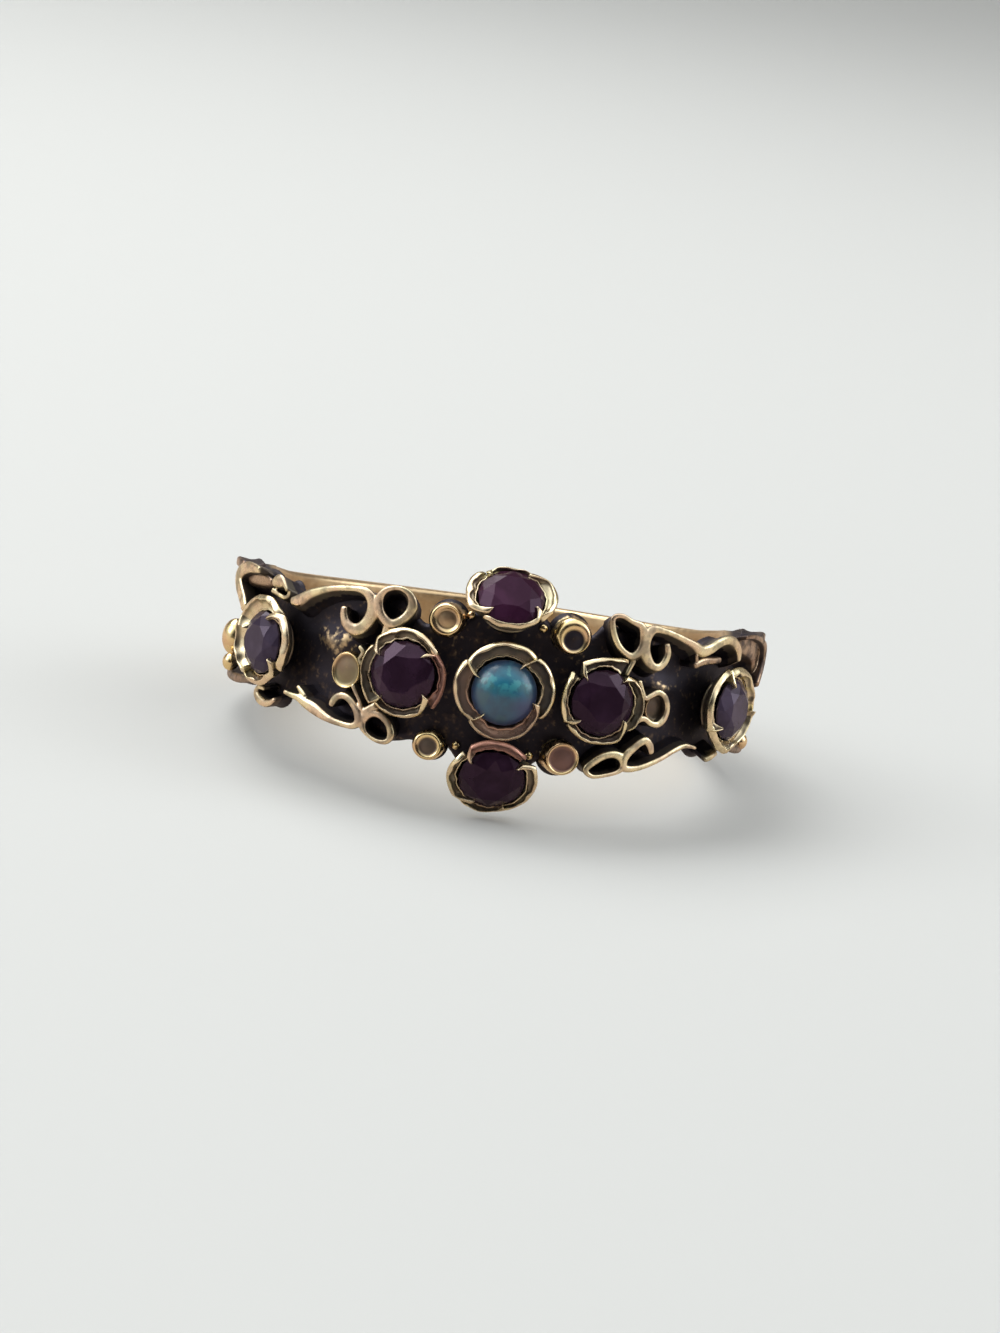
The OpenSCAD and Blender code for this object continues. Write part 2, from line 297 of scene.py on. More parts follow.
def agedGoldGroup():
    # bright gold on what stands high and dark patina low on the band and in the crevices
    tree = bpy.data.node_groups.new("agedGold", "ShaderNodeTree")
    colors = {
        # the third colour is a painted reflection: the rosy tint that downward faces take from the warm
        # surroundings below
        "Gold": (0.9, 0.66, 0.38, 1), "Warm Gold": (0.75, 0.42, 0.25, 1), "Rose Gold": (0.5, 0.27, 0.2, 1),
        "Patina": (0.02, 0.016, 0.016, 1), "Brown Patina": (0.07, 0.045, 0.04, 1),
    }
    amounts = {
        "Dark Below": 9.25, "Softness": 0.2, "Crevice Patina": 0.8, "Side Patina": 0.0, "Tarnish": 0.0,
        "Specks": 0.0, "Gold Roughness": 0.2,
    }
    for name, value in colors.items():
        groupSocket(tree, name, "INPUT", "NodeSocketColor", value)
    for name, value in amounts.items():
        groupSocket(tree, name, "INPUT", "NodeSocketFloat", value)
    groupSocket(tree, "Color", "OUTPUT", "NodeSocketColor")
    for name in ("Roughness", "Metallic", "Height"):
        groupSocket(tree, name, "OUTPUT", "NodeSocketFloat")
    inside = tree.nodes.new("NodeGroupInput").outputs
    outside = tree.nodes.new("NodeGroupOutput")

    coordinates = tree.nodes.new("ShaderNodeTexCoord").outputs
    unturned = (restTilt, 0, 0)
    toRing = tree.nodes.new("ShaderNodeMapping")
    feed(tree, toRing, {"Vector": coordinates["Object"], "Rotation": unturned, "Scale": (1000, 1000, 1000)})
    ringPlace = toRing.outputs["Vector"]  # millimetres in the ring's own frame
    x, y, _ = separated(tree, ringPlace)
    squares = [mathNode(tree, "MULTIPLY", part, part) for part in (x, y)]
    reach = mathNode(tree, "SQRT", mathNode(tree, "ADD", *squares))

    turned = tree.nodes.new("ShaderNodeMapping")
    turned.vector_type = "VECTOR"
    feed(tree, turned, {"Vector": coordinates["Normal"], "Rotation": unturned})
    outwards = vectorMath(tree, "MULTIPLY", ringPlace, (1, 1, 0))["Vector"]
    facing = vectorMath(tree, "DOT_PRODUCT", turned.outputs["Vector"], outwards)["Value"]
    facingShare = mathNode(tree, "DIVIDE", facing, reach)
    sides = mathNode(tree, "MULTIPLY", inside["Side Patina"],
                     mapRange(tree, facingShare, *wear["sideways"], 1.0, 0.0))

    blotches = noiseNode(tree, ringPlace, *wear["blotchNoise"])
    speckle = noiseNode(tree, ringPlace, *wear["speckleNoise"])
    bothNoises = mathNode(tree, "ADD", blotches, speckle)
    wobble = mathNode(tree, "MULTIPLY", mathNode(tree, "SUBTRACT", bothNoises, 1.0),
                      wear["wobble"])
    unevenReach = mathNode(tree, "ADD", reach, wobble)
    spots = noiseNode(tree, ringPlace, *wear["spotNoise"])
    tarnish = mathNode(tree, "MULTIPLY", inside["Tarnish"],
                       mapRange(tree, spots, *wear["spots"]))
    high = mathNode(tree, "ADD", inside["Dark Below"], inside["Softness"])
    low = mapRange(tree, unevenReach, inside["Dark Below"], high, 1.0, 0.0)
    start, full = wear["offHole"]
    offHole = mapRange(tree, reach, holeRadius + start, holeRadius + full)
    ground = mathNode(tree, "MULTIPLY", low, offHole)

    crevice = tree.nodes.new("ShaderNodeAmbientOcclusion")
    crevice.samples = 8
    feed(tree, crevice, {"Distance": wear["creviceReach"] * mm})
    closed = mapRange(tree, crevice.outputs["AO"], *wear["creviceOpen"], 1.0, 0.0)
    creviceMask = mathNode(tree, "MULTIPLY", closed, inside["Crevice Patina"])
    hidden = mathNode(tree, "MAXIMUM", ground, creviceMask, clamp=True)
    lowOrSide = mathNode(tree, "MAXIMUM", hidden, sides, clamp=True)
    # the per-point share holds patina together with painted shade and painted reflection
    madeDark = mathNode(tree, "MAXIMUM", pointShare(tree, "patina"), tarnish)
    patina = mathNode(tree, "MAXIMUM", lowOrSide, madeDark, clamp=True)
    rubbing = mathNode(tree, "MULTIPLY", pointShare(tree, "worn"), wear["rubbing"])
    patches = mapRange(tree, mathNode(tree, "ADD", speckle, rubbing), *wear["patches"])
    dots = mathNode(tree, "MULTIPLY", inside["Specks"], mapRange(tree, speckle, *wear["dots"]))
    bared = mathNode(tree, "MAXIMUM", patches, dots)
    covered = mathNode(tree, "SUBTRACT", 1.0, bared, clamp=True)
    thinned = mathNode(tree, "MULTIPLY", patina, covered, clamp=True)

    warmth = mapRange(tree, blotches, *wear["warmth"])
    unevenGold = mixColor(tree, warmth, inside["Gold"], inside["Warm Gold"])
    # painted rosy reflection given per point, on ball faces and petal slopes, and less metallic where it
    # lies
    paintedRosiness = pointShare(tree, "rose")
    gold = mixColor(tree, paintedRosiness, unevenGold, inside["Rose Gold"])
    mottling = mapRange(tree, bothNoises, *wear["mottling"])
    mottled = mixColor(tree, mottling, inside["Patina"], inside["Brown Patina"])
    strayed = mapRange(tree, speckle, *wear["polishSpeckle"], *wear["polish"])
    polish = mathNode(tree, "ADD", inside["Gold Roughness"], strayed)
    roughness = tree.nodes.new("ShaderNodeMix")
    feed(tree, roughness, {0: thinned, 2: polish, 3: wear["patinaRoughness"]})
    shiny = mapRange(tree, thinned, 0.2, 1.0, 1.0, wear["patinaMetal"])
    dulled = mathNode(tree, "MULTIPLY", paintedRosiness, wear["roseDulling"])
    feed(tree, outside, {
        "Color": mixColor(tree, thinned, gold, mottled),
        "Roughness": roughness.outputs[0],
        "Metallic": mathNode(tree, "SUBTRACT", shiny, dulled, clamp=True),
        "Height": mathNode(tree, "ADD", mathNode(tree, "MULTIPLY", speckle, 0.5), blotches),
    })
    return tree


agedGold = agedGoldGroup()
print("gold shader made")


def goldMaterial(name, finish):
    material, tree, shader = newMaterial(name)
    aged = tree.nodes.new("ShaderNodeGroup")
    aged.node_tree = agedGold
    feed(tree, aged, {key: value for key, value in finish.items() if key in aged.inputs})
    bump = tree.nodes.new("ShaderNodeBump")
    feed(tree, bump, {"Strength": finish["bumpStrength"], "Distance": finish["bumpDistance"] * mm,
                      "Height": aged.outputs["Height"]})
    feed(tree, shader, {"Base Color": aged.outputs["Color"], "Roughness": aged.outputs["Roughness"],
                        "Metallic": aged.outputs["Metallic"], "Normal": bump.outputs["Normal"]})
    return material


# Band: the dark ground in front and the plain shank behind

band = {
    "sections": 480,
    "groundReach": 9.1,
    "shankReach": 9.32,
    "shankStart": (84, 112),  # angles between which the ground turns into the shank
    "doming": 0.22,  # how much lower the shank is at its edges
    "edgeRound": 0.16,
    "bevel": 0.42,  # how far the front's edges lean in towards the finger
    "bevelEnd": (70, 95),  # angles between which it ends
    "wallRows": 8, "edgeRows": 4, "outsideRows": 30,
    "unevenness": 0.035, "lumpScales": (0.9, 2.3), "fineLumps": 0.5,
    "shankSmoothness": 0.75,
    "shankWear": 1.3,  # above 1 no patina is left on the shank
    "wearStart": (86, 122),  # angles between which this wear sets in
    # angle, lower edge, upper edge, from the back over the left side and the opal to the back
    "outline": [
        (-180, -1.6, 1.6), (-160, -1.6, 1.6), (-135, -1.62, 1.7), (-115, -1.68, 1.9), (-98, -1.8, 2.2),
        (-86, -1.85, 2.4), (-76, -1.8, 2.45), (-68, -1.7, 2.3), (-61, -1.6, 1.75), (-56, -1.9, 1.95),
        (-52.5, -1.9, 1.9), (-49, -1.5, 1.6), (-45, -1.5, 1.8), (-40, -1.85, 2.15), (-35, -2.05, 2.35),
        (-30, -2.12, 2.4), (-26.5, -2.3, 2.5), (-23.5, -2.46, 2.55), (-20.8, -2.4, 2.0),
        (-18.4, -2.3, 1.75), (-16, -2.35, 1.95), (-13, -2.45, 2.2), (-10, -2.35, 2.2), (-7, -2.8, 2.6),
        (0, -3.0, 2.9),
        (7, -2.8, 2.6), (10, -2.4, 2.25), (13, -2.4, 2.3), (16, -2.3, 2.15), (18.5, -2.2, 2.15),
        (21, -2.5, 2.6), (24.5, -2.4, 2.55), (28, -2.2, 2.45), (31, -2.1, 2.45), (35, -1.9, 2.35),
        (39, -1.6, 2.2), (43, -1.35, 2.0), (47, -1.35, 2.05), (51, -1.8, 2.05), (55, -1.9, 1.85),
        (60, -1.75, 1.8), (67, -1.75, 2.25), (76, -1.8, 2.4), (86, -1.85, 2.4), (98, -1.8, 2.2),
        (115, -1.68, 1.9), (135, -1.62, 1.7), (160, -1.6, 1.6), (180, -1.6, 1.6),
    ],
    # raised humps on the shoulders: angle, height, rise, half length, half width
    "humps": [
        (-36.5, 0.75, 0.16, 0.6, 0.4), (-39, 0.45, 0.13, 0.5, 0.35), (-42, 0.6, 0.13, 0.4, 0.35),
        (-38, 0.1, 0.1, 0.5, 0.35), (36.3, 0.62, 0.18, 0.6, 0.35), (39, 0.5, 0.14, 0.5, 0.3),
    ],
    # where the patina is bared: wear, and on the shoulder humps a painted highlight;
    # angle, height, half length, half width, share
    "rubbed": [
        (-37, 0.7, 0.6, 0.4, 0.62), (-40, 0.45, 0.6, 0.4, 0.5), (-42.5, 0.65, 0.4, 0.3, 0.62),
        (-37.5, 0.1, 0.6, 0.3, 0.35), (-41, -0.3, 0.8, 0.4, 0.15), (-11, 1.4, 0.5, 0.4, 0.3),
        (37, 0.6, 0.6, 0.3, 0.55), (40.5, 0.3, 0.7, 0.4, 0.2), (15.5, 1.35, 0.8, 0.45, 0.3),
        (9.5, 2.0, 0.4, 0.3, 0.25), (-47, -1.3, 0.6, 0.3, 0.3),
    ],
    "finish": {
        "Gold": (0.70, 0.54, 0.33, 1), "Warm Gold": (0.60, 0.45, 0.28, 1),
        "Patina": (0.036, 0.032, 0.043, 1), "Brown Patina": (0.075, 0.055, 0.052, 1), "Specks": 0.12,
        "Dark Below": 9.22, "Softness": 0.3, "Crevice Patina": 0.4, "Gold Roughness": 0.34,
        "bumpStrength": 0.4, "bumpDistance": 0.03,
    },
}


def outlineAt(angle):
    rows = band["outline"]
    i = max(k for k in range(len(rows) - 1) if rows[k][0] <= angle)
    t = (angle - rows[i][0]) / (rows[i + 1][0] - rows[i][0])
    around = fourAround(rows, i)
    return [curvePoint(*(row[column] for row in around), t) for column in (1, 2)]


def hill(angle, height, middleAngle, middleHeight, length, width):
    # 1 in the middle, falling softly to 0 over the length and width
    along = math.radians(angle - middleAngle) * band["groundReach"] / length
    across = (height - middleHeight) / width
    return math.exp(-(along * along + across * across))


def bandReach(angle, height, half):
    behind = smoothStep(abs(angle), *band["shankStart"])
    reach = mix(band["groundReach"], band["shankReach"], behind)
    reach -= band["doming"] * behind * (height / half) ** 2
    for humpAngle, humpHeight, rise, length, width in band["humps"]:
        reach += rise * hill(angle, height, humpAngle, humpHeight, length, width)
    place = onBand(angle, height, band["groundReach"])
    coarse, fine = (noise.noise(place * scale) for scale in band["lumpScales"])
    lumps = coarse + band["fineLumps"] * fine
    return reach + band["unevenness"] * lumps * (1 - band["shankSmoothness"] * behind)


def roundedEdge(angle, edge, inwards, bevel):
    # from the finger hole's wall outwards; inwards is 1 at the lower edge and -1 at the upper
    e = band["edgeRound"]
    made = []
    for k in range(1, band["edgeRows"] + 1):
        a = math.pi / 2 * k / band["edgeRows"]
        height = edge + inwards * bevel + inwards * e * (1 - math.sin(a))
        made.append(onBand(angle, height, holeRadius + e * (1 - math.cos(a))))
    return made


def bandShape():
    rings = []
    e = band["edgeRound"]
    for i in range(band["sections"]):
        angle = -180 + 360 * i / band["sections"]
        low, high = outlineAt(angle)
        half = (high - low) / 2
        bevel = band["bevel"] * (1 - smoothStep(abs(angle), *band["bevelEnd"]))
        ring = []
        for k in range(band["wallRows"] + 1):  # wall of the finger hole, from the top down
            height = mix(high - e - bevel, low + e + bevel, k / band["wallRows"])
            ring.append(onBand(angle, height, holeRadius))
        ring += roundedEdge(angle, low, 1, bevel)
        for k in range(band["outsideRows"] + 1):  # outside, from the bottom up
            height = mix(low, high, k / band["outsideRows"])
            edge = min(1.0, max(0.0, 1 - min(height - low, high - height) / e))
            reach = bandReach(angle, height, half)
            ring.append(onBand(angle, height, reach - e * (1 - math.sqrt(1 - edge * edge))))
        ring += reversed(roundedEdge(angle, high, -1, bevel))
        rings.append(ring)
    return loft(rings, endless=True)


# share of bared gold at a point: real wear on the shank, and painted highlight on the shoulder humps
def wearAndHighlightShare(point):
    angle = math.degrees(math.atan2(point.x, -point.y))
    share = band["shankWear"] * smoothStep(abs(angle), *band["wearStart"])
    for spotAngle, height, length, width, most in band["rubbed"]:
        share = max(share, most * hill(angle, point.z, spotAngle, height, length, width))
    return share


shape = bandShape()
bandPiece = addPiece("band", shape, goldMaterial("bandGold", band["finish"]),
                     worn=[wearAndHighlightShare(p) for p in shape[0]])
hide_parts("mount")
print("band made")


# Scrolls: raised wires on the shoulders and round the shoulder stones

scrolls = {
    "flatReach": 9.8,  # where widths and angles are measured
    "steps": 8,
    "sides": [(0.8, 8.95), (0.62, 9.14), (0.52, 9.28)],  # share of the width and reach, from the root up
    "topPoints": 15,
    "crown": 0.09, "crownShare": 0.3,  # how far the top falls at its sides, at most and by its width
    "flatness": 4.5,
    "endShares": (0.5, 0.8, 0.95), "endStep": 0.2,  # how a wire's end is rounded
    "endReach": 9.35,  # where a wire's rounded end meets the ground
    "shiftBelow": 9.75, "shiftDepth": 0.6,  # where the root starts to lie aside, and over what depth
    "voxel": 0.03,
    "smoothing": 2,
    # one wire: name, height of its top over the hole's axis, whether it is a closed loop, how far its
    # root lies aside and up from its top, and its route as angle, height, width
    "wires": [
        ("leftUpperHook", 9.85, False, (0, -0.28), [
            (-50.4, 1.66, 0.3), (-48.3, 1.74, 0.44), (-45.5, 2.03, 0.36), (-42, 2.27, 0.28),
            (-39, 2.42, 0.22), (-36, 2.51, 0.21), (-33, 2.56, 0.23), (-30.8, 2.48, 0.36),
            (-29.4, 2.2, 0.44), (-29.2, 1.85, 0.48), (-30, 1.5, 0.46), (-31.4, 1.25, 0.44),
            (-33.2, 1.18, 0.42), (-34.9, 1.33, 0.38), (-35.7, 1.6, 0.32), (-35.8, 1.85, 0.26)]),
        ("leftUpperLoop", 9.87, True, (-0.2, -0.28), [
            (-24, 2.86, 0.17), (-21.6, 2.72, 0.26), (-20.6, 2.3, 0.38), (-22, 1.85, 0.35),
            (-24.5, 1.6, 0.36), (-27, 1.85, 0.35), (-28, 2.3, 0.36), (-26.8, 2.7, 0.24)]),
        ("leftUpperTie", 9.8, False, (0, 0), [
            (-25.2, 1.58, 0.4), (-25.6, 1.3, 0.34), (-25.9, 1.05, 0.3)]),
        ("leftLowerHook", 9.85, False, (0, 0.1), [
            (-48.6, -1.5, 0.16), (-46.5, -1.55, 0.2), (-44.5, -1.58, 0.27), (-42.5, -1.7, 0.36),
            (-40, -1.82, 0.42), (-37.5, -1.97, 0.34), (-35, -2.08, 0.25), (-32, -2.13, 0.21),
            (-30, -2.12, 0.23), (-28.9, -1.98, 0.3), (-28.9, -1.75, 0.34), (-29.8, -1.5, 0.28),
            (-31.2, -1.27, 0.25), (-32.8, -1.16, 0.24), (-34.3, -1.22, 0.26), (-35.3, -1.42, 0.26),
            (-35.5, -1.58, 0.2)]),
        ("leftLowerSpur", 9.8, False, (0, 0), [
            (-45.2, -1.2, 0.14), (-44, -1.35, 0.2), (-43, -1.5, 0.22)]),
        ("leftLowerLoop", 9.83, True, (-0.12, 0.1), [
            (-28, -1.9, 0.36), (-26.6, -1.6, 0.32), (-24.5, -1.55, 0.26), (-22.3, -1.78, 0.26),
            (-21.3, -2.15, 0.28), (-22, -2.42, 0.19), (-24.2, -2.45, 0.14), (-26.8, -2.25, 0.16)]),
        ("leftLowerTie", 9.83, False, (0, 0), [
            (-27.8, -1.62, 0.36), (-26.5, -1.42, 0.32), (-25.4, -1.28, 0.3)]),
        ("rightUpperHook", 9.85, False, (0, -0.28), [
            (59.2, 1.72, 0.22), (58.8, 2.05, 0.34), (56.6, 2.34, 0.38), (53.2, 2.46, 0.36),
            (50, 2.33, 0.38), (47.3, 2.12, 0.42), (44.5, 2.04, 0.42), (42, 2.22, 0.32), (39, 2.38, 0.25),
            (36, 2.53, 0.22), (33, 2.64, 0.23), (30.3, 2.66, 0.34), (28.8, 2.35, 0.46),
            (28.8, 1.95, 0.46), (29.8, 1.62, 0.4), (31.3, 1.4, 0.3), (33, 1.38, 0.3), (34.3, 1.6, 0.31),
            (34.7, 1.9, 0.28), (34.1, 2.18, 0.22)]),
        ("rightUpperBranch", 9.8, False, (0, 0), [
            (43.3, 1.5, 0.22), (45, 1.62, 0.3), (47, 1.68, 0.3), (49.5, 1.7, 0.26), (51.6, 1.74, 0.22)]),
        ("rightUpperLink", 9.78, False, (0, 0), [
            (43.2, 1.92, 0.16), (43.5, 1.72, 0.15), (43.9, 1.56, 0.16)]),
        ("rightUpperLoop", 9.85, True, (0.2, -0.28), [
            (20.4, 2.9, 0.2), (20.9, 2.45, 0.24), (22.3, 2.03, 0.24), (24.2, 1.76, 0.24),
            (26.2, 1.68, 0.28), (28, 1.95, 0.36), (28.3, 2.35, 0.4), (27.2, 2.72, 0.3),
            (24.8, 2.86, 0.18), (22.2, 3.02, 0.18)]),
        ("rightUpperTie", 9.75, False, (0, 0), [
            (26.9, 1.52, 0.2), (26.2, 1.25, 0.17), (25.6, 1.0, 0.16)]),
        ("rightLowerHook", 9.85, False, (0, 0.1), [
            (47, -1.4, 0.12), (45.5, -1.35, 0.15), (43.5, -1.33, 0.18), (41.5, -1.44, 0.19),
            (39.5, -1.6, 0.18), (37.5, -1.78, 0.18), (35, -1.97, 0.19), (32, -2.16, 0.2),
            (29.5, -2.24, 0.24), (28.1, -2.2, 0.28), (27.8, -1.95, 0.32), (28.4, -1.72, 0.34),
            (29.6, -1.52, 0.3), (31, -1.32, 0.28), (32.5, -1.22, 0.3), (33.8, -1.4, 0.3),
            (34.3, -1.64, 0.22)]),
        ("rightLowerLoop", 9.83, True, (0.1, 0.1), [
            (19.4, -2.4, 0.22), (20.8, -2.12, 0.28), (22.8, -1.88, 0.3), (25, -1.78, 0.28),
            (27, -1.86, 0.32), (27.9, -2.12, 0.3), (26.8, -2.36, 0.17), (24, -2.52, 0.14),
            (21, -2.6, 0.15)]),
        ("rightBallRing", 9.86, False, (0, 0), [
            (28.6, 0.84, 0.16), (29.6, 0.5, 0.17), (30.6, 0.26, 0.17), (31.9, 0.36, 0.2),
            (33.8, 0.5, 0.22), (35.7, 0.34, 0.22), (36.7, -0.02, 0.24), (36.3, -0.4, 0.26),
            (34.8, -0.62, 0.25), (33, -0.6, 0.22), (31.3, -0.46, 0.2), (29.8, -0.5, 0.24),
            (28.2, -0.72, 0.26), (27.6, -0.62, 0.2)]),
        ("leftBallLink", 9.82, False, (0, 0), [
            (-31.3, -0.72, 0.16), (-30.2, -0.98, 0.14), (-29, -1.25, 0.14), (-28.4, -1.5, 0.17)]),
        ("leftCollar", 9.8, False, (0, 0), [
            (-31, 0.62, 0.14), (-30, 0.45, 0.15), (-30.6, 0.2, 0.12), (-30, 0.02, 0.12)]),
        ("leftPlate", 9.74, False, (0, -0.28), [
            (-59.5, 2.12, 0.3), (-63, 2.14, 0.46), (-67, 2.1, 0.5), (-70.5, 2.0, 0.4)]),
        ("rightPlate", 9.74, False, (0, -0.28), [
            (60.5, 2.28, 0.5), (66, 2.2, 0.66), (72, 1.95, 0.8), (74.5, 1.5, 0.8)]),
        ("leftKnob", 9.92, False, (0, -0.28), [
            (-57, 2.12, 0.3), (-55.6, 2.24, 0.46), (-54, 2.24, 0.4), (-52.8, 2.16, 0.22),
            (-51.8, 2.0, 0.16)]),
        ("leftUpperCurl", 9.8, False, (0, -0.2), [
            (-51.8, 2.0, 0.16), (-52.1, 1.8, 0.16), (-53.4, 1.7, 0.18), (-55.5, 1.76, 0.18),
            (-58, 1.84, 0.2)]),
        ("leftLowerCurl", 9.75, False, (0, 0.1), [
            (-56.4, -1.62, 0.16), (-58.6, -1.64, 0.2), (-59.4, -1.86, 0.28), (-57.8, -2.06, 0.32),
            (-55.4, -2.12, 0.3), (-53.4, -2.04, 0.24), (-52.2, -1.9, 0.18)]),
        ("leftFrame", 10.02, False, (0, -0.28), [
            (-62.4, 2.44, 0.26), (-65, 2.45, 0.36), (-68, 2.42, 0.42), (-71.5, 2.28, 0.5),
            (-74, 2.0, 0.58), (-73, 1.7, 0.56), (-71, 1.46, 0.5), (-69, 1.22, 0.48),
            (-67.5, 0.98, 0.44)]),
        ("rightFrame", 10.0, False, (0, -0.28), [
            (59, 2.58, 0.14), (63, 2.6, 0.16), (67, 2.52, 0.18), (71, 2.38, 0.2), (74.6, 2.16, 0.28),
            (75.8, 1.85, 0.3), (75.5, 1.5, 0.3), (74, 1.15, 0.3), (72, 0.8, 0.3)]),
        ("rightLowerStub", 9.7, False, (0, 0.3), [
            (52.6, -1.9, 0.2), (54.6, -1.82, 0.26), (57, -1.66, 0.2)]),
    ],
    # these are dimmer and browner than the rest
    "dimWires": ["leftPlate", "rightFrame", "rightPlate", "rightUpperBranch", "rightUpperLink"],
    # the upper and the lower edge wire, the same on both sides and given for the right, with a height for
    # each place on the route; they are dim as well, and their tops sink into the shank
    "edgeWires": [
        ([9.8, 9.8, 9.7, 9.5, 9.24], (0, -0.1), [
            (76, 2.35, 0.36), (82, 2.38, 0.38), (92, 2.26, 0.36), (104, 1.98, 0.3), (120, 1.6, 0.16)]),
        ([9.6, 9.62, 9.62, 9.56, 9.45, 9.22], (0, 0.1), [
            (63, -1.5, 0.24), (68, -1.62, 0.3), (74, -1.7, 0.34), (84, -1.74, 0.34), (96, -1.66, 0.3),
            (114, -1.46, 0.16)]),
    ],
    "finish": {
        **band["finish"],
        "Gold": (0.96, 0.86, 0.55, 1), "Warm Gold": (0.86, 0.67, 0.48, 1),
        "Rose Gold": (0.44, 0.225, 0.17, 1), "Brown Patina": (0.05, 0.036, 0.035, 1),
        "Dark Below": 9.42, "Softness": 0.3, "Specks": 0.0, "Crevice Patina": 0.3, "Side Patina": 0.9,
        "Tarnish": 0.5, "Gold Roughness": 0.28, "bumpStrength": 0.3, "bumpDistance": 0.02,
    },
    "dimming": {"Gold": (0.55, 0.42, 0.29, 1), "Warm Gold": (0.36, 0.24, 0.17, 1), "Tarnish": 0.8},
}


def addRoundEnd(flat, widths, tops):
    width, top = widths[-1], tops[-1]
    for k in scrolls["endShares"]:
        shrink = math.sqrt(1 - k * k)
        outwards = (flat[-1] - flat[-2]).normalized()
        flat.append(flat[-1] + outwards * widths[-1] * scrolls["endStep"])
        widths.append(width * shrink)
        tops.append(mix(min(scrolls["endReach"], top), top, shrink))


def wireShape(top, endless, shift, rows):
    # a rounded, rather flat top on sides that spread a little at the root
    heights = top if isinstance(top, list) else [top] * len(rows)
    rows = [list(row) + [height] for row, height in zip(rows, heights)]
    path = curveThrough(rows, scrolls["steps"], endless)
    arc = math.radians(1) * scrolls["flatReach"]
    flat = [Vector((row[0] * arc, row[1])) for row in path]
    widths = [row[2] for row in path]
    tops = [row[3] for row in path]
    if not endless:
        for _ in range(2):  # rounds one end, turns the wire about and rounds the other
            addRoundEnd(flat, widths, tops)
            for values in (flat, widths, tops):
                values.reverse()
    last = scrolls["topPoints"] - 1
    rings = []
    for i, here in enumerate(flat):
        ahead = flat[(i + 1) % len(flat)] if endless else flat[min(i + 1, len(flat) - 1)]
        behind = flat[i - 1] if endless else flat[max(i - 1, 0)]
        along = (ahead - behind).normalized()
        side = Vector((-along.y, along.x))
        width, crest = widths[i], tops[i]
        crown = min(scrolls["crown"], scrolls["crownShare"] * width)
        section = [(-share, reach) for share, reach in scrolls["sides"]]
        for k in range(last + 1):
            across = -math.cos(math.pi * k / last)
            section.append((0.5 * across, crest - crown * abs(across) ** scrolls["flatness"]))
        section += reversed(scrolls["sides"])
        ring = []
        for share, reach in section:
            rooted = max(0, min(1, (scrolls["shiftBelow"] - reach) / scrolls["shiftDepth"]))
            p = here + side * share * width + Vector(shift) * rooted
            ring.append(onBand(p.x / arc, p.y, min(reach, crest)))
        rings.append(ring)
    return loft(rings, endless)


shapes = {"leftScrolls": [], "rightScrolls": [], "dimScrolls": []}
for name, top, endless, shift, rows in scrolls["wires"]:
    piece = "leftScrolls" if name.startswith("left") else "rightScrolls"
    if name in scrolls["dimWires"]:
        piece = "dimScrolls"
    shapes[piece].append(wireShape(top, endless, shift, rows))
for tops, shift, rows in scrolls["edgeWires"]:
    for side in (-1, 1):
        turned = [(side * angle, height, width) for angle, height, width in rows]
        shapes["dimScrolls"].append(wireShape(tops, False, shift, turned))
scrollGold = goldMaterial("scrollGold", scrolls["finish"])
dimGold = goldMaterial("dimGold", {**scrolls["finish"], **scrolls["dimming"]})
for name, parts in shapes.items():
    melted = fused(joined(parts), scrolls["voxel"], scrolls["smoothing"])
    addPiece(name, melted, dimGold if name == "dimScrolls" else scrollGold)
    print(name, "made")


# Balls soldered to the ground, and the tiny studs beside the cross

balls = {
    "ground": 9.1,
    "sides": 48, "rowsBelow": 15, "rowsAbove": 12,
    "highest": 0.98,  # a ball that stands higher, as a share of its radius, has no narrower root
    "skirt": (0.3, 0.2), "fillet": 0.12,  # how the root spreads and sinks into the ground
    "flattening": 0.8,  # height of a plain ball's upper half
    # angle, height, radius, stretch along the hole, reach of the middle; then its sunken face: how far
    # aside and up it lies and its size, as shares of the radius, and how dark and how rosy the face is
    # painted, a painted reflection of the dark room in front and of the warm surroundings below
    "places": [
        (-13.5, 2.04, 0.63, 0.97, 9.45, 0.08, 0.06, 0.62, 0.4, 0),
        (12.9, 2.1, 0.67, 0.96, 9.43, 0, -0.18, 0.56, 1, 0),
        (-13.6, -2.3, 0.56, 0.94, 9.45, 0.06, -0.07, 0.58, 0.85, 0.5),
        (14.2, -2.1, 0.65, 0.94, 9.43, 0, -0.04, 0.72, 0.55, 1),
        (-33.5, -0.28, 0.61, 1.1, 9.44, 0.02, 0, 0.8, 0.74, 0),
        (34.3, -0.08, 0.47, 1.1, 9.4, 0, 0, 0.8, 0.88, 0), (-82, -0.35, 0.58, 1.15, 9.5, 0, 0, 0, 0, 0),
        (-78, -1.2, 0.34, 0.95, 9.66, 0, 0, 0, 0.2, 0.6), (80, -0.4, 0.45, 1.2, 9.3, 0, 0, 0, 0, 0),
        (75.5, -1.4, 0.32, 0.95, 9.55, 0, 0, 0, 0, 0), (-8.8, 2.3, 0.14, 1, 9.2, 0, 0, 0, 0, 0),
        (6.9, 2.2, 0.14, 1, 9.2, 0, 0, 0, 0, 0), (-8, -2.2, 0.14, 1, 9.2, 0, 0, 0, 0, 0),
        (7.8, -2.2, 0.14, 1, 9.2, 0, 0, 0, 0, 0),
    ],
    "finish": {
        **scrolls["finish"],
        "Gold": (0.95, 0.80, 0.42, 1), "Warm Gold": (0.86, 0.62, 0.38, 1), "Dark Below": 9.08,
        "Softness": 0.12, "Crevice Patina": 0.1, "Side Patina": 0.0, "Tarnish": 0.0, "Gold Roughness": 0.2,
    },
}


